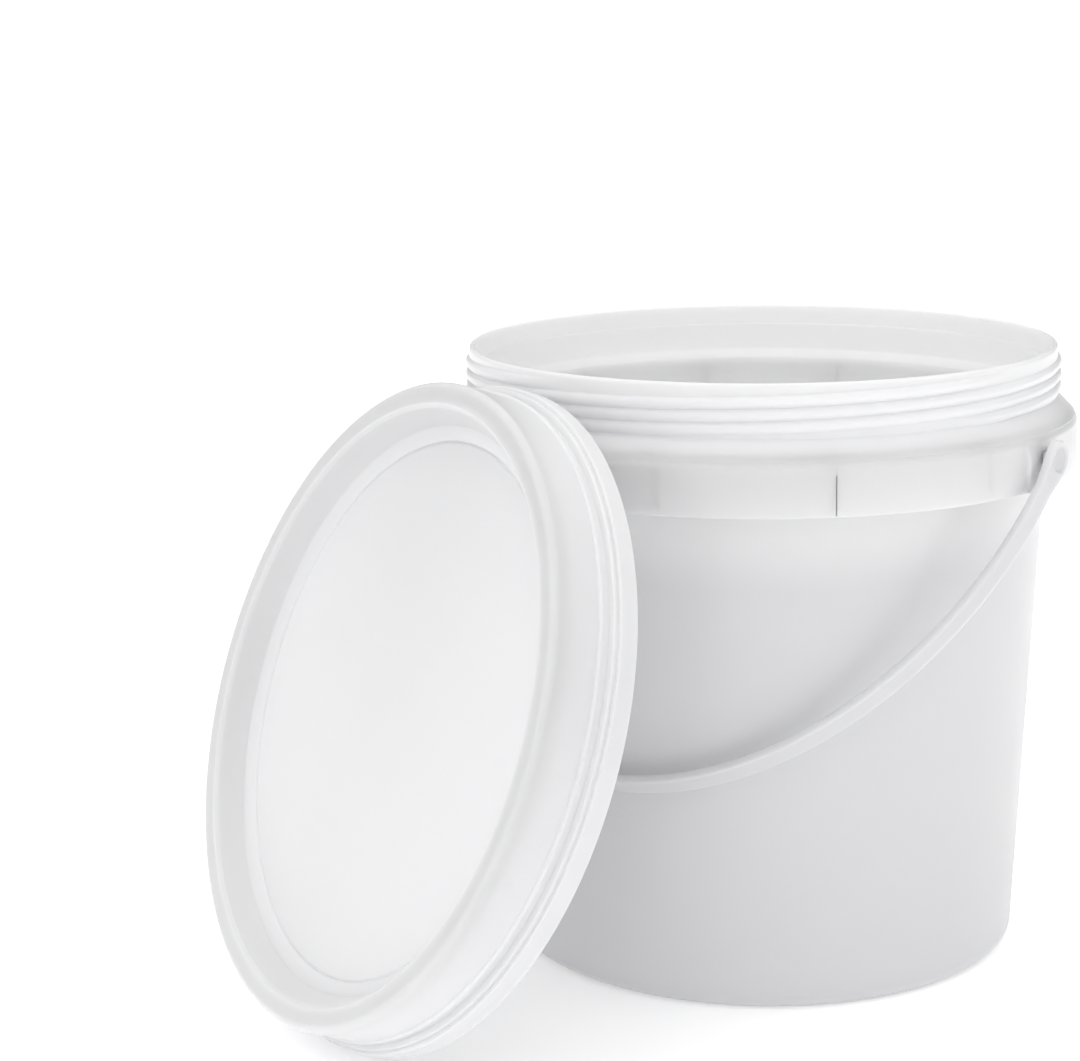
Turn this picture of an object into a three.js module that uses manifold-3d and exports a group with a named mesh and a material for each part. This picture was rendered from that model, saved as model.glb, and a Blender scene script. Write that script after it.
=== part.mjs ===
// A 10 litre plastic fermenting bucket: a threaded tub, its swinging handle, and its screw lid
// with the seal inside, standing on edge and leaning against the tub's neck.
// Millimetres, +Z up. The origin is the middle of the base, on the floor. The handle's pegs lie on X.

import * as THREE from 'three';
import { mergeVertices } from 'three/addons/utils/BufferGeometryUtils.js';
import Module from 'manifold-3d';

const wasm = await Module();
wasm.setup();

// ---- driving dimensions ----

const segments = 64; // facets round each turned shape
const arcSteps = 2; // each arc of an outline has twice this many chords
const wall = 2; // moulded wall thickness
const clearance = 0.5; // gap left between separate pieces that meet

const tubHeight = 263;
const collarRadius = 135;
const collarBottom = 211.5;
const collarTop = 228; // where the collar's straight side ends
const neckRadius = 126.2; // root of the neck's thread
const neckBottom = 241;
const lipRadius = 125.7;
const wallRadiusAtFloor = 111.1; // the outer wall's line carried down to the floor
const wallSlope = 0.0508; // radius gained for each millimetre of height
const baseFillet = 7.4;
const footWidth = 7;
const footHeight = 2;

const threadStarts = 4;
const threadPitch = 5.1; // between neighbouring ridges
const threadLead = threadStarts * threadPitch;
const threadHeight = 1.7;
const threadTurns = 0.71; // of each start
const threadTopAzimuth = THREE.MathUtils.degToRad(-20); // where the first start runs out
const threadBelowLip = 5; // from the lip down to a ridge's crest where it runs out

const ribCount = 12;
const ribThickness = 1.6;

const pegHeight = 224.4;
const pegRadius = 2.4;
const bowHalfWidth = 141; // middle of the strap, at the pegs
const bowLength = 177; // from the peg axis to the middle of the bow
const strapWidth = 9.5;
const strapThickness = 3.9;
const eyeRadius = 7.5;
const eyeInnerFace = bowHalfWidth - strapThickness / 2;
const restAngle = THREE.MathUtils.degToRad(43.5); // handle hanging forward against the wall
const padWidth = 26;
const padFace = collarRadius + 0.8; // the flat bearing pad stands just proud of the collar

const lidFlangeRadius = 136;
const lidSkirtRadius = 131;
const lidSkirtInner = 128.8;
const lidHeight = 34;
const lidThreadHeight = 1.6;
const crownInnerRadius = 121;
const panelRadius = 115;
const panelHeight = 20; // outer face of the recessed panel, above the lid's open edge
const panelBevel = 5.6; // width and rise of the slope round the panel
const panelRise = 2.8;
const sealSeat = lidHeight - wall - 0.2; // underside of the crown, where the seal ring sits
const sealThickness = 2.4;
const lidTilt = THREE.MathUtils.degToRad(20.6); // lean towards the tub, from upright
const lidAzimuth = THREE.MathUtils.degToRad(247.1); // which way the lid's outer face looks
const lidBearing = THREE.MathUtils.degToRad(255.2); // where the middle of its open edge stands
const lidDistance = 177.6; // from the tub's axis to the middle of the lid's open edge

// ---- shared helpers ----

function solidFrom(geometry) {
  const bare = geometry.clone();
  bare.deleteAttribute('normal');
  bare.deleteAttribute('uv');
  const merged = mergeVertices(bare, 1e-3);
  const index = merged.index.array;
  const triangles = [];
  for (let i = 0; i < index.length; i += 3) {
    const [a, b, c] = [index[i], index[i + 1], index[i + 2]];
    if (a !== b && b !== c && c !== a) triangles.push(a, b, c);
  }
  const vertProperties = Float32Array.from(merged.attributes.position.array);
  const triVerts = Uint32Array.from(triangles);
  return new wasm.Manifold(new wasm.Mesh({ numProp: 3, vertProperties, triVerts }));
}

function geometryFrom(solid) {
  const mesh = solid.getMesh();
  const geometry = new THREE.BufferGeometry();
  geometry.setAttribute('position', new THREE.BufferAttribute(Float32Array.from(mesh.vertProperties), 3));
  geometry.setIndex(Array.from(mesh.triVerts));
  geometry.computeVertexNormals();
  return geometry;
}

function joined(solids) {
  return solids.reduce((whole, solid) => whole.add(solid));
}

// Turns an outline of (radius, height) points round Z.
function turned(outline) {
  const points = outline.getPoints(arcSteps);
  return solidFrom(new THREE.LatheGeometry(points, segments).rotateX(Math.PI / 2));
}

// A cylinder along X from one x to another.
function rodAlongX(radius, fromX, toX, y, z) {
  const rod = new THREE.CylinderGeometry(radius, radius, Math.abs(toX - fromX), 24).rotateZ(Math.PI / 2);
  return solidFrom(rod.translate((fromX + toX) / 2, y, z));
}

// A straight ridge bent round Z: its section's x is the distance out from radius, its y is the height,
// and its length becomes the turn, which starts at the top end and falls by lead for each whole turn.
function helicalRidge(section, radius, topAzimuth, topHeight, lead) {
  const arc = threadTurns * 2 * Math.PI;
  const steps = Math.round(segments * threadTurns);
  const ridge = new THREE.ExtrudeGeometry(section, { depth: arc, steps, bevelEnabled: false });
  const position = ridge.attributes.position;
  for (let i = 0; i < position.count; i += 1) {
    const turn = position.getZ(i);
    const azimuth = topAzimuth - turn;
    const reach = radius + position.getX(i);
    const height = topHeight + position.getY(i) - (lead * turn) / (2 * Math.PI);
    position.setXYZ(i, reach * Math.cos(azimuth), reach * Math.sin(azimuth), height);
  }
  return solidFrom(ridge);
}

function threadRidges(section, radius, topHeight) {
  const ridges = [];
  for (let start = 0; start < threadStarts; start += 1) {
    const azimuth = threadTopAzimuth + (start * 2 * Math.PI) / threadStarts;
    ridges.push(helicalRidge(section, radius, azimuth, topHeight, threadLead));
  }
  return ridges;
}

// Ridge section: wide at the root, which is sunk into the wall, and narrow at the crest.
function ridgeSection(height, outward) {
  const rootHalf = 1.9;
  const crestHalf = 0.7;
  const sunk = 0.6;
  const section = new THREE.Shape();
  section.moveTo(-sunk * outward, -rootHalf);
  section.lineTo(height * outward, -crestHalf);
  section.lineTo(height * outward, crestHalf);
  section.lineTo(-sunk * outward, rootHalf);
  section.closePath();
  return section;
}

// ---- tub ----

function wallRadius(height) {
  return wallRadiusAtFloor + wallSlope * height;
}

function tubOutline() {
  const skirtInner = collarRadius - wall;
  const underShoulder = 236;
  const neckInner = neckRadius - wall - 0.6;
  const stepHeight = 3;
  const floorTop = footHeight + wall + 0.4;
  const innerFillet = 6;
  const filletRadius = wallRadius(baseFillet);
  const innerRadius = wallRadius(floorTop + innerFillet) - wall; // where the inner fillet starts
  const outline = new THREE.Path();
  outline.moveTo(0, footHeight);
  outline.lineTo(filletRadius - baseFillet - footWidth - 1, footHeight);
  outline.lineTo(filletRadius - baseFillet - footWidth, 0);
  outline.absarc(filletRadius - baseFillet, baseFillet, baseFillet, -Math.PI / 2, 0, false);
  outline.lineTo(wallRadius(underShoulder), underShoulder);
  outline.lineTo(skirtInner - 4, underShoulder - 1);
  outline.absarc(skirtInner - 4, underShoulder - 5, 4, Math.PI / 2, 0, true);
  outline.lineTo(skirtInner, collarBottom);
  outline.lineTo(collarRadius, collarBottom);
  outline.lineTo(collarRadius, collarTop);
  outline.quadraticCurveTo(collarRadius, neckBottom - 9, collarRadius - 2, neckBottom - 6.8);
  outline.lineTo(neckRadius, neckBottom);
  outline.lineTo(neckRadius, tubHeight - 2);
  outline.quadraticCurveTo(neckRadius, tubHeight, lipRadius - 0.8, tubHeight);
  outline.quadraticCurveTo(neckInner, tubHeight, neckInner, tubHeight - 1);
  outline.lineTo(neckInner, neckBottom + 1);
  outline.lineTo(wallRadius(neckBottom - stepHeight) - wall, neckBottom - stepHeight);
  outline.lineTo(innerRadius, floorTop + innerFillet);
  outline.absarc(innerRadius - innerFillet, floorTop + innerFillet, innerFillet, 0, -Math.PI / 2, true);
  outline.lineTo(0, floorTop);
  return outline;
}

// Stiffening ribs hidden between the wall and the hanging collar.
function collarRibs() {
  const inner = wallRadius(collarBottom) - 0.9;
  const outer = collarRadius - wall / 2;
  const bottom = collarBottom + 2.5;
  const shape = new THREE.Shape();
  shape.moveTo(inner, bottom);
  shape.lineTo(outer, bottom);
  shape.lineTo(outer, neckBottom - 9.4);
  shape.lineTo(neckRadius, neckBottom - 2);
  shape.lineTo(inner + 1, neckBottom - 4);
  shape.closePath();
  const ribs = [];
  for (let i = 0; i < ribCount; i += 1) {
    const rib = new THREE.ExtrudeGeometry(shape, { depth: ribThickness, bevelEnabled: false });
    rib.translate(0, 0, -ribThickness / 2).rotateX(Math.PI / 2);
    rib.rotateZ(((i + 0.5) * 2 * Math.PI) / ribCount);
    ribs.push(solidFrom(rib));
  }
  return ribs;
}

function bearingPad(side) {
  const backFace = collarRadius - wall + 0.2;
  const height = collarTop - collarBottom;
  const pad = new THREE.BoxGeometry(padFace - backFace, padWidth, height);
  pad.translate((side * (padFace + backFace)) / 2, 0, collarBottom + height / 2);
  return solidFrom(pad);
}

function makeTub() {
  const ridges = threadRidges(ridgeSection(threadHeight, 1), neckRadius, tubHeight - threadBelowLip);
  const pads = [bearingPad(1), bearingPad(-1)];
  let tub = joined([turned(tubOutline()), ...collarRibs(), ...ridges, ...pads]);
  const holeRadius = pegRadius + clearance;
  const holeStart = collarRadius - wall - 3; // short of the collar's inner face
  const holeEnd = padFace + 3;
  for (const side of [1, -1]) {
    tub = tub.subtract(rodAlongX(holeRadius, side * holeStart, side * holeEnd, 0, pegHeight));
  }
  return geometryFrom(tub);
}

// ---- handle ----

class Bow extends THREE.Curve {
  getPoint(t, target = new THREE.Vector3()) {
    const angle = Math.PI * t;
    return target.set(bowHalfWidth * Math.cos(angle), 0, -bowLength * Math.sin(angle));
  }
}

// The strap's section: x lies across its width, y across its thickness.
function strapSection() {
  const halfWidth = strapWidth / 2;
  const halfThickness = strapThickness / 2;
  const corner = 0.9;
  const section = new THREE.Shape();
  section.moveTo(-halfWidth, -halfThickness + corner);
  section.lineTo(-halfWidth + corner, -halfThickness);
  section.lineTo(halfWidth - corner, -halfThickness);
  section.lineTo(halfWidth, -halfThickness + corner);
  section.lineTo(halfWidth, halfThickness - corner);
  section.lineTo(halfWidth - corner, halfThickness);
  section.lineTo(-halfWidth + corner, halfThickness);
  section.lineTo(-halfWidth, halfThickness - corner);
  section.closePath();
  return section;
}

// The strap ends in a round eye on each side, with a shallow dish in its outer face.
function makeHandle() {
  const steps = 44;
  const dishRadius = 5.4;
  const dishDepth = 0.8;
  const strap = new THREE.ExtrudeGeometry(strapSection(), { steps, extrudePath: new Bow() });
  let handle = solidFrom(strap);
  for (const side of [1, -1]) {
    const innerFace = side * eyeInnerFace;
    const outerFace = side * (eyeInnerFace + strapThickness);
    handle = handle.add(rodAlongX(eyeRadius, innerFace, outerFace, 0, 0));
    handle = handle.subtract(rodAlongX(dishRadius, outerFace - side * dishDepth, outerFace + side, 0, 0));
  }
  return geometryFrom(handle);
}

// A peg points inwards from an eye, and its head snaps in behind the collar.
function makePeg(side) {
  const headRadius = 3.7;
  const headThickness = 1.6;
  const headFace = side * (collarRadius - wall - clearance);
  const headEnd = headFace - side * headThickness;
  const strapBend = 0.05; // how far the strap curves inwards within the peg's own radius
  const shaft = rodAlongX(pegRadius, headEnd + side, side * (eyeInnerFace - strapBend), 0, 0);
  return geometryFrom(joined([shaft, rodAlongX(headRadius, headEnd, headFace, 0, 0)]));
}

// ---- lid ----

function lidOutline() {
  const flangeInner = lidFlangeRadius - wall;
  const flangeTop = 9;
  const stepTop = 14;
  const crownFillet = 3;
  const crownOuter = lidSkirtRadius - crownFillet;
  const channelInner = crownInnerRadius + 0.6;
  const outline = new THREE.Path();
  outline.moveTo(0, panelHeight - wall);
  outline.lineTo(panelRadius - panelBevel + 0.6, panelHeight - wall);
  outline.lineTo(panelRadius + 1.2, panelHeight + panelRise - wall);
  outline.lineTo(channelInner, sealSeat);
  outline.lineTo(lidSkirtInner, sealSeat);
  outline.lineTo(lidSkirtInner, stepTop - 1.5);
  outline.lineTo(flangeInner, flangeTop - 2);
  outline.lineTo(flangeInner, 0);
  outline.lineTo(lidFlangeRadius, 0);
  outline.lineTo(lidFlangeRadius - 0.6, flangeTop - 1);
  outline.lineTo(lidSkirtRadius + 1, stepTop);
  outline.lineTo(lidSkirtRadius, stepTop + 0.6);
  outline.lineTo(lidSkirtRadius, lidHeight - crownFillet);
  outline.absarc(crownOuter, lidHeight - crownFillet, crownFillet, 0, Math.PI / 2, false);
  outline.lineTo(crownInnerRadius, lidHeight);
  outline.lineTo(crownInnerRadius - 1.2, lidHeight - 1.2);
  outline.lineTo(panelRadius, panelHeight + panelRise);
  outline.lineTo(panelRadius - panelBevel, panelHeight);
  outline.lineTo(0, panelHeight);
  return outline;
}

function makeLid() {
  const topRidge = sealSeat - 5.3;
  const ridges = threadRidges(ridgeSection(lidThreadHeight, -1), lidSkirtInner, topRidge);
  const ceiling = 12.5; // the ridges end above the wide flange
  const keep = solidFrom(
    new THREE.CylinderGeometry(lidSkirtRadius, lidSkirtRadius, lidHeight - ceiling, segments)
      .rotateX(Math.PI / 2)
      .translate(0, 0, (lidHeight + ceiling) / 2),
  );
  return geometryFrom(joined([turned(lidOutline()), joined(ridges).intersect(keep)]));
}

function makeGasket() {
  const outer = lidSkirtInner - clearance;
  const inner = crownInnerRadius + 1.4;
  const top = sealSeat - 0.3;
  const outline = new THREE.Path();
  outline.moveTo(inner, top);
  outline.lineTo(inner, top - sealThickness);
  outline.lineTo(outer, top - sealThickness);
  outline.lineTo(outer, top);
  outline.lineTo(inner, top);
  return geometryFrom(turned(outline));
}

// ---- assembly ----

function plastic(color, roughness) {
  return new THREE.MeshStandardMaterial({ color, roughness, metalness: 0 });
}

function named(name, geometry, material) {
  const mesh = new THREE.Mesh(geometry, material);
  mesh.name = name;
  return mesh;
}

const tub = named('tub', makeTub(), plastic(0xdcddde, 0.38));

const handlePlastic = plastic(0xdfe0e1, 0.42);
const handle = named('handle', makeHandle(), handlePlastic);
const pegRight = named('handle_peg_right', makePeg(1), handlePlastic);
const pegLeft = named('handle_peg_left', makePeg(-1), handlePlastic);

// The handle turns on its pegs, and hangs forward against the tub's wall.
const hangingHandle = new THREE.Group();
hangingHandle.add(handle, pegRight, pegLeft);
hangingHandle.position.z = pegHeight;
hangingHandle.rotation.x = -restAngle;

const lid = named('lid', makeLid(), plastic(0xe6e7e8, 0.4));
const gasket = named('lid_gasket', makeGasket(), plastic(0xf1efe9, 0.8));

// The lid stands on its open edge, with its outer face looking away from the tub and a little up.
const leaningLid = new THREE.Group();
leaningLid.add(lid, gasket);
leaningLid.rotation.set(0, Math.PI / 2 - lidTilt, lidAzimuth, 'ZYX');
leaningLid.position.set(
  lidDistance * Math.cos(lidBearing),
  lidDistance * Math.sin(lidBearing),
  lidFlangeRadius * Math.cos(lidTilt),
);

const bucket = new THREE.Group();
bucket.add(tub, hangingHandle, leaningLid);

export default bucket;
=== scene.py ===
"""Looks of a white plastic fermenting bucket with its swinging handle and leaning screw lid.

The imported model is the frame. Each of its solids is replaced by a finer mesh of the same size.
Sizes are named in millimetres, as in the part's source, and turned into metres when a mesh is made.
"""

import math

import bpy
import numpy as np
from mathutils import Matrix, Vector


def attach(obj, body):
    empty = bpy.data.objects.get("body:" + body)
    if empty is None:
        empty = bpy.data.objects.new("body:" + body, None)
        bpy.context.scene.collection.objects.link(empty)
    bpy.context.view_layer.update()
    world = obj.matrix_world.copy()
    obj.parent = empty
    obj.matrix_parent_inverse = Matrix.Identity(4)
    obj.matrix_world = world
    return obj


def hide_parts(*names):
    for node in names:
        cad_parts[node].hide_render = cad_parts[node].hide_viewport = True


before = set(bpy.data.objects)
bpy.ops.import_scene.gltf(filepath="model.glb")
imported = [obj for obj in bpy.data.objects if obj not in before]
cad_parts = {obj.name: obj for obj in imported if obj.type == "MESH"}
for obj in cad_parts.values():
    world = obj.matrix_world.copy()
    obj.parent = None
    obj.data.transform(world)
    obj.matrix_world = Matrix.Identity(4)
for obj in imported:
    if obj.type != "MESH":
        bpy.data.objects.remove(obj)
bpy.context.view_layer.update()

# ---- driving dimensions, in millimetres ----

MM = 0.001
WALL = 2.0
CLEARANCE = 0.5
COLUMNS = 360  # round each turned mesh
PEG_COLUMNS = 48  # round each peg and its hole

TUB_HEIGHT = 263.0
COLLAR_RADIUS = 135.0
COLLAR_BOTTOM = 211.5
COLLAR_TOP = 228.0
BEAD_HEIGHT = 233.2  # fine mould line between the shoulder and the collar
NECK_RADIUS = 126.2
NECK_BOTTOM = 241.0
NECK_INNER = 123.6
BASE_FILLET = 7.4
FOOT_WIDTH = 7.0
FOOT_HEIGHT = 2.0
FLOOR_TOP = 4.4

THREAD_STARTS = 4
THREAD_LEAD = 20.4
THREAD_TURNS = 0.71
THREAD_HEIGHT = 1.7
THREAD_TOP = 258.0  # crest height where each ridge runs out
THREAD_TOP_AZIMUTH = -20.0  # degrees
THREAD_HALF_WIDTH = 2.3
THREAD_FADE = 16.0  # degrees over which a ridge rises and dies

PEG_HEIGHT = 224.4
PEG_RADIUS = 2.4
HOLE_RADIUS = 2.9
PAD_HALF_WIDTH = 13.0
PAD_FACE = COLLAR_RADIUS + 0.8
BOW_HALF_WIDTH = 141.0
BOW_LENGTH = 177.0
STRAP_WIDTH = 9.5
STRAP_THICKNESS = 3.9
EYE_RADIUS = 7.5
REST_ANGLE = math.radians(43.5)

LID_FLANGE_RADIUS = 136.0
LID_SKIRT_RADIUS = 131.0
LID_SKIRT_INNER = 128.8
LID_HEIGHT = 34.0
LID_THREAD_HEIGHT = 1.6
LID_SEAL_SEAT = LID_HEIGHT - WALL - 0.2
PANEL_RADIUS = 115.0
PANEL_HEIGHT = 20.0
CROWN_INNER = 121.0
LID_TILT = math.radians(20.6)
LID_AZIMUTH = math.radians(247.1)
LID_BEARING = math.radians(255.2)
LID_DISTANCE = 177.6


# ---- outlines ----


def wall_radius(height):
    """Outer radius of the tub's tapered wall."""
    return 111.1 + 0.0508 * height


def rounded(corners, step=5.0):
    """A dense outline through (radius, height, fillet) corners, whose ends stay sharp.

    A fourth value sets the spacing of the points on the stretch after that corner.
    """
    points = [np.array(c[:2], float) for c in corners]
    made = []
    leave = points[0]
    for i, corner in enumerate(corners):
        here = points[i]
        fillet = corner[2]
        if i in (0, len(corners) - 1) or fillet == 0:
            arc = [here]
        else:
            arc = fillet_arc(points[i - 1], here, points[i + 1], fillet)
        if i > 0:
            gap = corners[i - 1][3] if len(corners[i - 1]) > 3 else step
            made.extend(straight(leave, arc[0], gap))
        made.extend(arc)
        leave = arc[-1]
    return np.array(made)


def fillet_arc(before, here, after, radius):
    """Points of the arc that rounds the corner at here."""
    u = (before - here) / np.linalg.norm(before - here)
    v = (after - here) / np.linalg.norm(after - here)
    inside = math.acos(max(-1.0, min(1.0, float(u @ v))))
    cut = radius / math.tan(inside / 2)
    room = 0.49 * min(np.linalg.norm(before - here), np.linalg.norm(after - here))
    if cut > room:
        radius *= room / cut
        cut = room
    bisector = (u + v) / np.linalg.norm(u + v)
    centre = here + bisector * radius / math.sin(inside / 2)
    turn = math.pi - inside
    count = max(3, round(turn / math.radians(11)))
    start = here + u * cut - centre
    end = here + v * cut - centre
    arc = []
    for k in range(count + 1):
        t = k / count
        blend = (math.sin((1 - t) * turn) * start + math.sin(t * turn) * end) / math.sin(turn)
        arc.append(centre + blend)
    return arc


def straight(start, end, gap):
    """Points between two ends, with one close to each end so that flats stay flat when shaded."""
    length = float(np.linalg.norm(end - start))
    edge = 0.3
    if length < 3 * edge:
        return []
    count = max(1, math.ceil((length - 2 * edge) / gap))
    along = [edge + (length - 2 * edge) * k / count for k in range(count + 1)]
    return [start + (end - start) * a / length for a in along]


# ---- meshes ----


def new_object(name, points, faces, body, material, place=None):
    """A smooth-shaded mesh, given in millimetres, that rides on a CAD body."""
    if place is not None:
        points = points @ np.array(place.to_3x3()).T + np.array(place.translation)
    mesh = bpy.data.meshes.new(name)
    mesh.from_pydata((points * MM).tolist(), [], faces)
    mesh.validate()
    mesh.polygons.foreach_set("use_smooth", [True] * len(mesh.polygons))
    mesh.materials.append(material)
    piece = bpy.data.objects.new(name, mesh)
    bpy.context.scene.collection.objects.link(piece)
    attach(piece, body)
    return piece


def turned(outline, azimuths, shape=None, closed=False):
    """Points and faces of an outline turned round Z, with an optional shape(x, y, z, radius)."""
    rows = outline if closed else outline[1:-1]
    radius, azimuth = np.meshgrid(rows[:, 0], azimuths, indexing="ij")
    z = np.repeat(rows[:, 1:2], len(azimuths), axis=1)
    x = radius * np.cos(azimuth)
    y = radius * np.sin(azimuth)
    if shape is not None:
        x, y = shape(x, y, z, radius)
    points = np.stack([x, y, z], axis=-1).reshape(-1, 3)
    n, m = len(rows), len(azimuths)
    faces = []
    for i in range(n if closed else n - 1):
        for j in range(m):
            a, b = i * m, ((i + 1) % n) * m
            k = (j + 1) % m
            faces.append((a + j, a + k, b + k, b + j))
    if not closed:
        first, last = len(points), len(points) + 1
        poles = [[0, 0, outline[0][1]], [0, 0, outline[-1][1]]]
        points = np.vstack([points, poles])
        for j in range(m):
            k = (j + 1) % m
            faces.append((first, k, j))
            faces.append((last, (n - 1) * m + j, (n - 1) * m + k))
    return points, faces


def outward(points, faces):
    """The faces, turned round if the closed mesh is inside out."""
    corners = points[np.array([f[:3] for f in faces])]
    volume = np.einsum("ij,ij->i", corners[:, 0], np.cross(corners[:, 1], corners[:, 2])).sum()
    return faces if volume > 0 else [tuple(reversed(f)) for f in faces]


def circle(count):
    """Evenly spaced angles round a circle."""
    return np.arange(count) * 2 * math.pi / count


def even_azimuths(extra=()):
    """The columns of a turned mesh, with a few more where a shape needs an edge."""
    base = circle(COLUMNS)
    return np.array(sorted(set(np.round(base, 6)) | {round(e % (2 * math.pi), 6) for e in extra}))


def ridge_height(x, y, z, top, depth, low, high):
    """How far the helical ridges stand out at each point. Each start dies away at both ends."""
    azimuth = np.degrees(np.arctan2(y, x))
    stands = np.zeros_like(z)
    for start in range(THREAD_STARTS):
        top_azimuth = THREAD_TOP_AZIMUTH + start * 360 / THREAD_STARTS
        turn = (top_azimuth - azimuth + THREAD_FADE) % 360 - THREAD_FADE
        crest = top - THREAD_LEAD * turn / 360
        across = np.clip(np.abs(z - crest) / THREAD_HALF_WIDTH, 0, 1)
        bump = np.sqrt(1 - across**2) ** 1.3
        length = THREAD_TURNS * 360
        rise = np.clip((turn + THREAD_FADE) / THREAD_FADE, 0, 1)
        fall = np.clip((length + THREAD_FADE - turn) / THREAD_FADE, 0, 1)
        fade = (rise * fall) ** 2 * (3 - 2 * rise * fall)
        stands = np.maximum(stands, depth * bump * fade)
    stands[(z < low) | (z > high)] = 0
    return stands


# ---- tub ----


def tub_outline():
    """From the middle of the base, up the outside, over the lip and down the inside."""
    under_shoulder = 236.0
    bead_step = 0.3  # spacing of the points on the fine bead
    thread_step = 0.35  # and on the neck, which carries the thread
    ledge_height = 254.0  # a fine step inside the neck
    ledge_width = 0.25
    neck_seat = 238.0  # the inner wall starts to taper below this
    foot_outer = wall_radius(BASE_FILLET) - BASE_FILLET
    foot_inner = foot_outer - FOOT_WIDTH
    return rounded(
        [
            (0, FOOT_HEIGHT, 0),
            (foot_inner - 1, FOOT_HEIGHT, 0.6),
            (foot_inner, 0, 0.8),
            (wall_radius(0), 0, BASE_FILLET),
            (wall_radius(under_shoulder), under_shoulder, 1.0),
            (COLLAR_RADIUS - WALL, under_shoulder - 1, 4.0),
            (COLLAR_RADIUS - WALL, COLLAR_BOTTOM, 0.5),
            (COLLAR_RADIUS, COLLAR_BOTTOM, 0.7),
            (COLLAR_RADIUS, COLLAR_TOP + 3.2, 3.2),
            (COLLAR_RADIUS - 0.8, BEAD_HEIGHT - 0.5, 0.3, bead_step),
            (COLLAR_RADIUS - 1.15, BEAD_HEIGHT, 0.1, bead_step),
            (COLLAR_RADIUS - 1.2, BEAD_HEIGHT + 0.35, 0.2),
            (NECK_RADIUS + 1, NECK_BOTTOM - 0.6, 2.0),
            (NECK_RADIUS, NECK_BOTTOM + 0.3, 0.8, thread_step),
            (NECK_RADIUS, TUB_HEIGHT - 1.3, 0.4, thread_step),
            (NECK_RADIUS - 0.5, TUB_HEIGHT, 1.0),
            (NECK_INNER, TUB_HEIGHT, 0.9),
            (NECK_INNER, ledge_height + 0.2, 0.2),
            (NECK_INNER - ledge_width, ledge_height - 0.2, 0.2),
            (NECK_INNER - ledge_width, NECK_BOTTOM + 1, 1.5),
            (wall_radius(neck_seat) - WALL, neck_seat, 2.0),
            (wall_radius(FLOOR_TOP) - WALL, FLOOR_TOP, 6.0),
            (0, FLOOR_TOP, 0),
        ]
    )


def tub_shape(x, y, z, radius):
    """Raises the neck's thread and the two flat pads that the handle's eyes bear on."""
    neck = (radius > NECK_RADIUS - 0.3) & (z > NECK_BOTTOM) & (z < TUB_HEIGHT - 1)
    stands = ridge_height(x, y, z, THREAD_TOP, THREAD_HEIGHT, NECK_BOTTOM, TUB_HEIGHT - 1.4)
    grow = np.where(neck, 1 + stands / radius, 1)
    x, y = x * grow, y * grow
    face = (radius > COLLAR_RADIUS - 0.2) & (z > COLLAR_BOTTOM + 0.2) & (z < COLLAR_TOP + 0.1)
    pad = face & (np.abs(y) < PAD_HALF_WIDTH)
    return np.where(pad, np.sign(x) * PAD_FACE, x), y


def rod_along_x(name, radius, low, high):
    """A plain cutter for a round hole at the pegs' height."""
    n = PEG_COLUMNS
    angles = circle(n)
    ring = np.stack([np.zeros(n), np.cos(angles) * radius, PEG_HEIGHT + np.sin(angles) * radius], 1)
    points = np.vstack([ring + [low, 0, 0], ring + [high, 0, 0]])
    faces = [(j, (j + 1) % n, n + (j + 1) % n, n + j) for j in range(n)]
    faces += [tuple(range(n)), tuple(range(n, 2 * n))]
    mesh = bpy.data.meshes.new(name)
    mesh.from_pydata((points * MM).tolist(), [], outward(points, faces))
    rod = bpy.data.objects.new(name, mesh)
    bpy.context.scene.collection.objects.link(rod)
    return rod


def cut(piece, cutter):
    """Takes the cutter out of the piece for good, then removes the cutter."""
    modifier = piece.modifiers.new("cut", "BOOLEAN")
    modifier.operation = "DIFFERENCE"
    modifier.solver = "EXACT"
    modifier.object = cutter
    bpy.context.view_layer.update()
    evaluated = piece.evaluated_get(bpy.context.evaluated_depsgraph_get())
    result = bpy.data.meshes.new_from_object(evaluated)
    piece.modifiers.clear()
    piece.data = result
    bpy.data.objects.remove(cutter)


def make_tub(material):
    """The threaded tub, with a peg hole bored through each flat pad."""
    edge = math.asin(PAD_HALF_WIDTH / COLLAR_RADIUS)
    beside = (-0.001, 0.0016)  # columns this close to each side of a pad's edge keep it crisp
    extra = [a + s * edge + d for a in (0, math.pi) for s in (-1, 1) for d in beside]
    points, faces = turned(tub_outline(), even_azimuths(extra), tub_shape)
    tub = new_object("tub_shell", points, outward(points, faces), "tub", material)
    for side in (-1, 1):
        ends = sorted((side * (COLLAR_RADIUS - WALL - 2), side * (PAD_FACE + 3)))
        cut(tub, rod_along_x("hole_cutter", HOLE_RADIUS, *ends))
    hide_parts("tub")
    return tub


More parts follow.
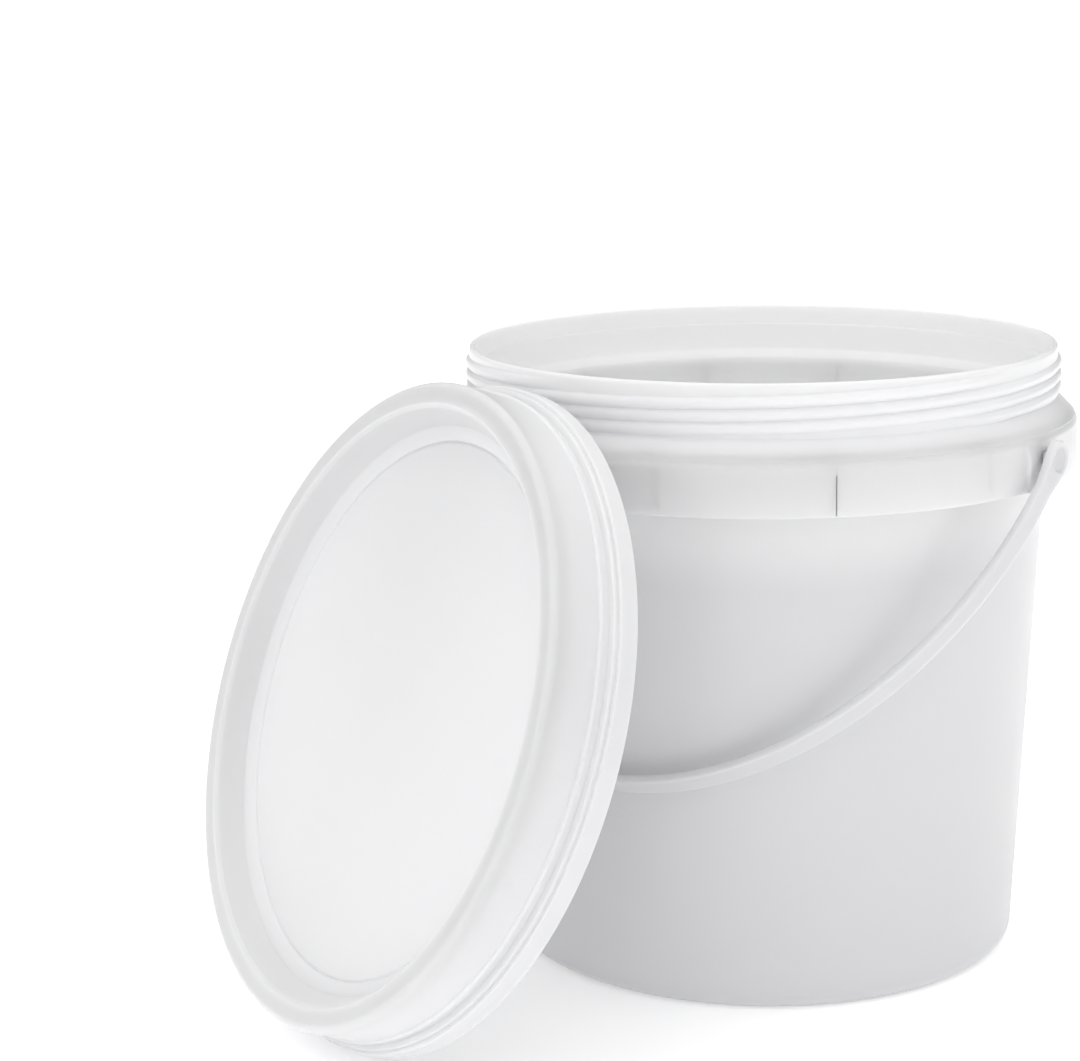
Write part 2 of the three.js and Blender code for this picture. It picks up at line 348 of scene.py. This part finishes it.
def make_ribs(material):
    """Thin stiffening webs between the wall and the hanging collar, seen from below."""
    count = 12
    half = 0.8
    wall = wall_radius(COLLAR_BOTTOM)
    lowest = COLLAR_BOTTOM + 2.2
    shoulder = COLLAR_BOTTOM + 3.5  # the corners at both ends of the lower edge are cut off
    section = [
        (wall - 0.9, shoulder),
        (wall + 2.4, lowest),
        (COLLAR_RADIUS - 3.4, lowest),
        (COLLAR_RADIUS - WALL / 2, shoulder),
        (COLLAR_RADIUS - WALL / 2, COLLAR_TOP + 3),
        (wall_radius(COLLAR_TOP) - 0.6, COLLAR_TOP + 8.4),
    ]
    n = len(section)
    points, faces = [], []
    for i in range(count):
        azimuth = (i + 0.5) * 2 * math.pi / count
        c, s = math.cos(azimuth), math.sin(azimuth)
        base = len(points)
        for side in (-half, half):
            points += [(r * c - side * s, r * s + side * c, z) for r, z in section]
        faces.append(tuple(base + k for k in range(n)))
        faces.append(tuple(base + n + k for k in reversed(range(n))))
        for k in range(n):
            j = (k + 1) % n
            faces.append((base + j, base + k, base + n + k, base + n + j))
    points = np.array(points)
    ribs = new_object("collar_ribs", points, outward(points, faces), "tub", material)
    bevel = ribs.modifiers.new("soft_edges", "BEVEL")
    bevel.width = 0.3 * MM
    bevel.segments = 2
    ribs.data.polygons.foreach_set("use_smooth", [False] * len(ribs.data.polygons))
    return ribs


def make_seam(material):
    """The fine raised line that the mould's halves leave down the collar."""
    azimuth = math.radians(-45)
    half_width = 0.5
    stands = 0.05
    sunk = 0.1
    section = ((-half_width, -sunk), (0, stands), (half_width, -sunk))
    points = []
    for z in (COLLAR_BOTTOM + 0.7, COLLAR_TOP):
        for across, out in section:
            turn = azimuth + across / COLLAR_RADIUS
            reach = COLLAR_RADIUS + out
            points.append((reach * math.cos(turn), reach * math.sin(turn), z))
    points = np.array(points)
    faces = [(k, (k + 1) % 3, (k + 1) % 3 + 3, k + 3) for k in range(3)]
    faces += [(0, 1, 2), (3, 4, 5)]
    faces = outward(points, faces)
    seam = new_object("collar_seam", points, faces, "tub", material)
    seam.data.polygons.foreach_set("use_smooth", [False] * len(seam.data.polygons))


# ---- handle ----


def bow_path():
    """Centreline, its outward normal and distance above the peg axis, from one eye to the other."""
    over_eye = EYE_RADIUS * np.cos(np.linspace(0.03, math.pi / 2, 22, endpoint=False))
    half = [((BOW_HALF_WIDTH, rise), (1.0, 0.0), rise) for rise in over_eye]
    near_eye = np.linspace(0, 26.0 / BOW_LENGTH, 52)  # close rings where the eye narrows to the strap
    strap = np.linspace(0.155, math.pi / 2, 70)
    for t in np.concatenate([near_eye, strap]):
        point = (BOW_HALF_WIDTH * math.cos(t), -BOW_LENGTH * math.sin(t))
        normal = np.array([BOW_LENGTH * math.cos(t), -BOW_HALF_WIDTH * math.sin(t)])
        half.append((point, tuple(normal / np.linalg.norm(normal)), point[1]))
    other = [((-p[0], p[1]), (-n[0], n[1]), d) for p, n, d in reversed(half[:-1])]
    return half + other


def half_width_at(drop):
    """Half the strap's width, where drop is the height above the peg axis, negative below it."""
    neck_length = 17.0  # over which the eye narrows to the strap
    if drop >= 0:
        return math.sqrt(max(EYE_RADIUS**2 - drop**2, 0.01))
    narrow = min(1.0, -drop / neck_length)
    eased = narrow * narrow * (3 - 2 * narrow)
    return EYE_RADIUS + (STRAP_WIDTH / 2 - EYE_RADIUS) * eased


def quarter_round(centre_x, centre_y, radius, start):
    """Points of a rounded corner, clockwise from a start angle in degrees that is left out."""
    angles = np.radians(np.linspace(start, start - 90, 6)[1:])
    return [(centre_x + radius * math.cos(a), centre_y + radius * math.sin(a)) for a in angles]


def strap_ring(half_width):
    """Section points (across the width, out of the bow) of the strap, with rounded corners."""
    half = STRAP_THICKNESS / 2
    corner = min(1.1, 0.8 * half_width)
    flat = half_width - corner
    ring = [(flat * t, half) for t in np.linspace(-1, 1, 17)]
    ring += quarter_round(flat, half - corner, corner, 90)
    ring += quarter_round(flat, -half + corner, corner, 0)
    ring += [(flat * t, -half) for t in np.linspace(1, -1, 9)[1:]]
    ring += quarter_round(-flat, -half + corner, corner, 270)
    ring += quarter_round(-flat, half - corner, corner, 180)
    return ring[:-1]


def eye_dish(distance):
    """Depth of the shallow round dish in the outer face of an eye."""
    radius, depth, edge = 5.5, 0.75, 0.55
    t = min(1.0, max(0.0, (radius - distance) / edge))
    return depth * t * t * (3 - 2 * t)


def make_handle(material):
    """The strap and its two eyes, as one skin of rings along the bow."""
    outer_face = STRAP_THICKNESS / 2 - 0.05
    rings = []
    for (px, pz), (nx, nz), drop in bow_path():
        ring = []
        for across, out in strap_ring(half_width_at(drop)):
            if out > outer_face and drop > -EYE_RADIUS:
                out -= eye_dish(math.hypot(across, drop))
            ring.append((px + nx * out, across, pz + nz * out))
        rings.append(ring)
    n, m = len(rings), len(rings[0])
    points = np.array(rings).reshape(-1, 3)
    faces = []
    for i in range(n - 1):
        for j in range(m):
            k = (j + 1) % m
            faces.append((i * m + j, i * m + k, (i + 1) * m + k, (i + 1) * m + j))
    faces += [tuple(reversed(range(m))), tuple((n - 1) * m + j for j in range(m))]
    place = Matrix.Translation((0, 0, PEG_HEIGHT)) @ Matrix.Rotation(-REST_ANGLE, 4, "X")
    faces = outward(points, faces)
    strap = new_object("handle_strap", points, faces, "handle", material, place)
    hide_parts("handle")
    return strap


def make_pegs(material):
    """Round pegs on the eyes, each with a tapered head that snaps in behind the collar."""
    head_face = COLLAR_RADIUS - WALL - CLEARANCE
    head_end = head_face - 1.7
    head_radius = 3.7
    inner_face = BOW_HALF_WIDTH - STRAP_THICKNESS / 2
    foot_radius = PEG_RADIUS + 0.9
    sunk = inner_face + 0.5  # the peg's foot runs into the eye
    outline = rounded(
        [
            (0, head_end, 0),
            (head_radius - 0.8, head_end, 0.4),
            (head_radius, head_face - 0.5, 0.3),
            (head_radius, head_face, 0.2),
            (PEG_RADIUS, head_face, 0.2),
            (PEG_RADIUS, inner_face - 0.9, 0.5),
            (foot_radius, inner_face + 0.1, 0.1),
            (foot_radius, sunk, 0),
            (0, sunk, 0),
        ],
        2.0,
    )
    angles = circle(PEG_COLUMNS)
    for side, name in ((1, "handle_peg_right"), (-1, "handle_peg_left")):
        points, faces = turned(outline, angles)
        turn = Matrix.Rotation(side * math.pi / 2, 4, "Y")
        place = Matrix.Translation((0, 0, PEG_HEIGHT)) @ turn
        faces = outward(points, faces)
        peg = new_object(name, points, faces, "handle", material, place)
        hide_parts(name)


# ---- lid ----


def lid_outline():
    """From the middle of the panel's underside, round the open edge, to the middle of its top."""
    thread_step = 0.4  # spacing of the points where the inner thread stands
    underside = PANEL_HEIGHT - WALL
    step_inner = 12.5  # the flange's inner face meets the skirt here
    ring_radius = 134.1  # band above the flange
    waist_radius = 131.3  # groove between the band and the fine ridge
    ridge_radius = 132.1
    groove_outer = 109.7  # the groove between the panel and its bevel
    groove_depth = 0.55
    return rounded(
        [
            (0, underside, 0),
            (groove_outer + 0.3, underside, 2.0),
            (PANEL_RADIUS + 1.2, PANEL_HEIGHT + 0.8, 2.0),
            (CROWN_INNER + 0.6, LID_SEAL_SEAT, 1.0),
            (LID_SKIRT_INNER, LID_SEAL_SEAT, 0.5, thread_step),
            (LID_SKIRT_INNER, step_inner, 1.0),
            (LID_FLANGE_RADIUS - WALL, 7.0, 1.0),
            (LID_FLANGE_RADIUS - WALL, 0, 0.5),
            (LID_FLANGE_RADIUS, 0, 0.8),
            (LID_FLANGE_RADIUS - 0.3, 7.6, 0.5),
            (ring_radius, 7.9, 0.3),
            (ring_radius, 9.5, 0.6),
            (waist_radius + 0.3, 10.2, 0.5),
            (waist_radius, 12.6, 0.3),
            (ridge_radius, 13.0, 0.35),
            (ridge_radius, 13.9, 0.35),
            (LID_SKIRT_RADIUS + 0.2, 14.5, 0.4),
            (LID_SKIRT_RADIUS - 0.4, LID_HEIGHT, 3.0),
            (CROWN_INNER + 0.4, LID_HEIGHT, 0.7),
            (CROWN_INNER - 1.2, LID_HEIGHT - 1.6, 1.0),
            (PANEL_RADIUS + 0.2, PANEL_HEIGHT + 2.8, 1.2),
            (groove_outer, PANEL_HEIGHT + 0.3, 0.3),
            (groove_outer - 0.4, PANEL_HEIGHT - groove_depth, 0.15),
            (groove_outer - 1.0, PANEL_HEIGHT - groove_depth, 0.15),
            (groove_outer - 1.5, PANEL_HEIGHT, 0.3),
            (0, PANEL_HEIGHT, 0),
        ],
        6.0,
    )


def lid_shape(x, y, z, radius):
    """Raises the thread inside the lid's skirt."""
    low = 13.0
    inside = (np.abs(radius - LID_SKIRT_INNER) < 0.4) & (z > low) & (z < LID_SEAL_SEAT - 0.4)
    top = LID_SEAL_SEAT - 5.3
    stands = ridge_height(x, y, z, top, LID_THREAD_HEIGHT, low, LID_SEAL_SEAT - 3)
    grow = np.where(inside, 1 - stands / radius, 1)
    return x * grow, y * grow


def lid_place():
    """From the lid's own axis, open edge down, to where it stands on edge against the tub."""
    turn = Matrix.Rotation(LID_AZIMUTH, 4, "Z") @ Matrix.Rotation(math.pi / 2 - LID_TILT, 4, "Y")
    middle = Vector(
        (
            LID_DISTANCE * math.cos(LID_BEARING),
            LID_DISTANCE * math.sin(LID_BEARING),
            LID_FLANGE_RADIUS * math.cos(LID_TILT),
        )
    )
    return Matrix.Translation(middle) @ turn


def make_lid(material):
    """The whole lid, with the thread inside its skirt."""
    points, faces = turned(lid_outline(), even_azimuths(), lid_shape)
    faces = outward(points, faces)
    lid = new_object("lid_shell", points, faces, "lid", material, lid_place())
    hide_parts("lid")
    return lid


def make_seal(material):
    """A soft ring with a raised lip on each edge, in the channel under the crown."""
    top = LID_SEAL_SEAT - 0.3
    lip = top - 2.4
    dip = lip + 0.5  # the face between the two lips
    outer = LID_SKIRT_INNER - CLEARANCE
    inner = CROWN_INNER + 1.5
    middle = (inner + outer) / 2
    corners = [
        (middle, top, 0),
        (inner, top, 0.5),
        (inner, lip, 0.7),
        (inner + 1.6, lip, 0.5),
        (inner + 2.2, dip, 0.4),
        (outer - 2.2, dip, 0.4),
        (outer - 1.6, lip, 0.5),
        (outer, lip, 0.7),
        (outer, top, 0.5),
        (middle, top, 0),
    ]
    points, faces = turned(rounded(corners, 2.0)[:-1], even_azimuths(), closed=True)
    faces = outward(points, faces)
    seal = new_object("lid_seal", points, faces, "lid", material, lid_place())
    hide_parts("lid_gasket")
    return seal


# ---- materials ----

CLOUD_SHADE = 0.985  # how dark the cloudy patches are
SMEAR_BELOW = 0.02  # range of roughness round each plastic's own
SMEAR_ABOVE = 0.07
SCATTER_LENGTH = 0.008  # metres that light travels inside the plastic
PAINTED_SHADE_FADE = 35.0  # millimetres over which the painted shade below the collar fades in


def node(tree, kind, **inputs):
    """A shader node with some of its input sockets set or linked."""
    made = tree.nodes.new(kind)
    for name, value in inputs.items():
        socket = made.inputs[name.replace("_", " ")]
        if isinstance(value, bpy.types.NodeSocket):
            tree.links.new(value, socket)
        else:
            socket.default_value = value
    return made


def facing(tree, direction, towards):
    """The part of one vector that lies along another."""
    dot = tree.nodes.new("ShaderNodeVectorMath")
    dot.operation = "DOT_PRODUCT"
    tree.links.new(direction, dot.inputs[0])
    dot.inputs[1].default_value = towards
    return dot.outputs["Value"]


def ramp(tree, value, from_low, from_high, to_low, to_high):
    """A smooth step from one value to another."""
    made = node(tree, "ShaderNodeMapRange", Value=value)
    made.interpolation_type = "SMOOTHSTEP"
    made.inputs["From Min"].default_value = from_low
    made.inputs["From Max"].default_value = from_high
    made.inputs["To Min"].default_value = to_low
    made.inputs["To Max"].default_value = to_high
    return made.outputs["Result"]


def mixed(tree, factor, first, second):
    """A colour socket blended towards a fixed colour."""
    blend = tree.nodes.new("ShaderNodeMix")
    blend.data_type = "RGBA"
    first_colour, second_colour, result = blend.inputs[6], blend.inputs[7], blend.outputs[2]
    tree.links.new(factor, blend.inputs["Factor"])
    tree.links.new(first, first_colour)
    second_colour.default_value = (*second, 1)
    return result


def milky_plastic(name, color, roughness, scatter, grain):
    """Translucent white polyolefin: soft gloss, cloudy tone, moulding ripple and fine grain."""
    material = bpy.data.materials.new(name)
    material.use_nodes = True
    tree = material.node_tree
    shader = tree.nodes["Principled BSDF"]
    place = tree.nodes.new("ShaderNodeTexCoord").outputs["Object"]

    cloud = node(tree, "ShaderNodeTexNoise", Vector=place, Scale=9.0, Detail=3.0)
    tint = tree.nodes.new("ShaderNodeValToRGB")
    tint.color_ramp.elements[0].position = 0.3
    tint.color_ramp.elements[0].color = (*[c * CLOUD_SHADE for c in color], 1)
    tint.color_ramp.elements[1].position = 0.7
    tint.color_ramp.elements[1].color = (*color, 1)
    tree.links.new(cloud.outputs["Fac"], tint.inputs["Fac"])
    tree.links.new(tint.outputs["Color"], shader.inputs["Base Color"])

    smear = node(tree, "ShaderNodeTexNoise", Vector=place, Scale=34.0, Detail=4.0)
    sheen = node(tree, "ShaderNodeMapRange", Value=smear.outputs["Fac"])
    sheen.inputs["From Min"].default_value = 0.3
    sheen.inputs["From Max"].default_value = 0.7
    sheen.inputs["To Min"].default_value = roughness - SMEAR_BELOW
    sheen.inputs["To Max"].default_value = roughness + SMEAR_ABOVE
    tree.links.new(sheen.outputs["Result"], shader.inputs["Roughness"])

    ripple = node(tree, "ShaderNodeTexNoise", Vector=place, Scale=22.0, Detail=1.0)
    wide = node(tree, "ShaderNodeBump", Height=ripple.outputs["Fac"], Strength=0.25, Distance=0.0006)
    speckle = node(tree, "ShaderNodeTexNoise", Vector=place, Scale=1500.0, Detail=2.0)
    tiny = node(tree, "ShaderNodeBump", Height=speckle.outputs["Fac"], Distance=0.00003)
    tiny.inputs["Strength"].default_value = grain
    tree.links.new(wide.outputs["Normal"], tiny.inputs["Normal"])
    tree.links.new(tiny.outputs["Normal"], shader.inputs["Normal"])

    shader.inputs["Subsurface Weight"].default_value = scatter
    shader.inputs["Subsurface Radius"].default_value = (1.0, 1.0, 1.0)
    shader.inputs["Subsurface Scale"].default_value = SCATTER_LENGTH
    shader.inputs["IOR"].default_value = 1.5
    return material


def paint_tub_shade_and_light(material, painted_wall_shade, inside):
    """Paints shade on the wall below the collar as a greyer colour, and paints light on the faces
    that look towards the axis as a lighter colour.
    """
    tree = material.node_tree
    shader = tree.nodes["Principled BSDF"]
    coordinates = tree.nodes.new("ShaderNodeTexCoord")
    place = coordinates.outputs["Object"]
    # painted shade: the wall turns greyer below the collar, standing in for the shade there
    height = facing(tree, place, (0, 0, 1))
    fade_end = (COLLAR_BOTTOM - PAINTED_SHADE_FADE) * MM
    low = ramp(tree, height, fade_end, COLLAR_BOTTOM * MM, 1.0, 0.0)
    outside = mixed(tree, low, shader.inputs["Base Color"].links[0].from_socket, painted_wall_shade)

    # painted light: faces that look towards the tub's axis get a lighter colour, standing in for
    # light bounced round the inside
    flat = tree.nodes.new("ShaderNodeVectorMath")
    flat.operation = "MULTIPLY"
    flat.inputs[1].default_value = (1, 1, 0)
    tree.links.new(place, flat.inputs[0])
    outwards = tree.nodes.new("ShaderNodeVectorMath")
    outwards.operation = "DOT_PRODUCT"
    tree.links.new(flat.outputs["Vector"], outwards.inputs[0])
    tree.links.new(coordinates.outputs["Normal"], outwards.inputs[1])
    inwards = ramp(tree, outwards.outputs["Value"], -0.06, 0.02, 1.0, 0.0)
    tree.links.new(mixed(tree, inwards, outside, inside), shader.inputs["Base Color"])


def seal_rubber():
    """Soft off-white foam rubber with fine pores."""
    material = bpy.data.materials.new("seal_rubber")
    material.use_nodes = True
    tree = material.node_tree
    shader = tree.nodes["Principled BSDF"]
    place = tree.nodes.new("ShaderNodeTexCoord").outputs["Object"]
    pores = node(tree, "ShaderNodeTexVoronoi", Vector=place, Scale=1400.0)
    tint = tree.nodes.new("ShaderNodeValToRGB")
    tint.color_ramp.elements[0].color = (0.7, 0.69, 0.66, 1)
    tint.color_ramp.elements[1].color = (0.8, 0.79, 0.76, 1)
    tree.links.new(pores.outputs["Distance"], tint.inputs["Fac"])
    tree.links.new(tint.outputs["Color"], shader.inputs["Base Color"])
    bump = node(tree, "ShaderNodeBump", Height=pores.outputs["Distance"], Distance=0.0001)
    tree.links.new(bump.outputs["Normal"], shader.inputs["Normal"])
    shader.inputs["Roughness"].default_value = 0.85
    return material


# ---- floor, light and camera ----

DIM_LIGHT = 0.05  # strength of the horizon on its dark side
SIDE_LIGHT = 0.55  # and on its bright side
TOP_LIGHT = 1.45
FLOOR_GLOW = 0.3
HEADING = math.radians(127.46)  # which way the camera looks
BRIGHT_HEADING = HEADING + math.radians(140)
CAMERA_PLACE = (0.6011, -0.9436, 0.4155)


def make_floor():
    """A wide pale disc, big enough to reach the horizon."""
    radius = 500.0
    ring = [(radius * math.cos(a), radius * math.sin(a), 0) for a in circle(96)]
    mesh = bpy.data.meshes.new("floor")
    mesh.from_pydata(ring, [], [tuple(range(len(ring)))])
    floor = bpy.data.objects.new("floor", mesh)
    bpy.context.scene.collection.objects.link(floor)
    material = bpy.data.materials.new("floor_paint")
    material.use_nodes = True
    shader = material.node_tree.nodes["Principled BSDF"]
    shader.inputs["Base Color"].default_value = (0.95, 0.95, 0.955, 1)
    shader.inputs["Roughness"].default_value = 0.9
    shader.inputs["Specular IOR Level"].default_value = 0.1
    shader.inputs["Emission Color"].default_value = (1, 1, 1, 1)
    shader.inputs["Emission Strength"].default_value = FLOOR_GLOW
    mesh.materials.append(material)


def make_world():
    """A white studio that is brightest overhead, with a softer light in front and to the left."""
    world = bpy.data.worlds.new("studio")
    bpy.context.scene.world = world
    world.use_nodes = True
    tree = world.node_tree
    place = tree.nodes.new("ShaderNodeTexCoord").outputs["Generated"]
    bright = Vector((math.cos(BRIGHT_HEADING), math.sin(BRIGHT_HEADING), 0))
    around = ramp(tree, facing(tree, place, bright), -0.8, 0.7, DIM_LIGHT, SIDE_LIGHT)
    above = facing(tree, place, Vector((0, 0, 1)))
    height = ramp(tree, above, 0.1, 0.9, 0.0, 1.0)
    blend = tree.nodes.new("ShaderNodeMix")
    tree.links.new(height, blend.inputs["Factor"])
    tree.links.new(around, blend.inputs["A"])
    blend.inputs["B"].default_value = TOP_LIGHT
    tree.links.new(blend.outputs["Result"], tree.nodes["Background"].inputs["Strength"])
    tree.nodes["Background"].inputs["Color"].default_value = (1, 1, 1, 1)


def make_camera():
    """The viewing position: about a metre away, a little above the rim and looking slightly down."""
    pitch = math.radians(11.92)
    roll = math.radians(-0.9)
    data = bpy.data.cameras.new("camera")
    data.sensor_width = 36.0
    data.lens = 86.51
    data.clip_start = 0.05
    data.clip_end = 1000.0
    camera = bpy.data.objects.new("camera", data)
    bpy.context.scene.collection.objects.link(camera)
    ahead = math.cos(pitch)
    look = Vector((math.cos(HEADING) * ahead, math.sin(HEADING) * ahead, -math.sin(pitch)))
    right = look.cross(Vector((0, 0, 1))).normalized()
    up = right.cross(look)
    tilted_right = right * math.cos(roll) + up * math.sin(roll)
    tilted_up = up * math.cos(roll) - right * math.sin(roll)
    turn = Matrix((tilted_right, tilted_up, -look)).transposed().to_4x4()
    camera.matrix_world = Matrix.Translation(CAMERA_PLACE) @ turn
    bpy.context.scene.camera = camera


make_camera()
make_world()
make_floor()
bpy.context.scene.view_settings.view_transform = "Standard"

tub_plastic = milky_plastic("tub_plastic", (0.81, 0.81, 0.82), 0.3, 1.0, 0.3)
# painted shade: the handle's plastic is made darker than the tub's, standing in for shade on the
# strap
handle_plastic = milky_plastic("handle_plastic", (0.64, 0.64, 0.65), 0.36, 1.0, 0.3)
lid_plastic = milky_plastic("lid_plastic", (0.75, 0.75, 0.76), 0.34, 1.0, 0.35)
# painted shade colour for the wall below the collar, then painted light colour for the faces that
# look towards the axis
paint_tub_shade_and_light(tub_plastic, (0.61, 0.61, 0.62), (0.995, 0.995, 0.995))

make_tub(tub_plastic)
make_ribs(tub_plastic)
make_seam(tub_plastic)
make_handle(handle_plastic)
make_pegs(handle_plastic)
make_lid(lid_plastic)
make_seal(seal_rubber())
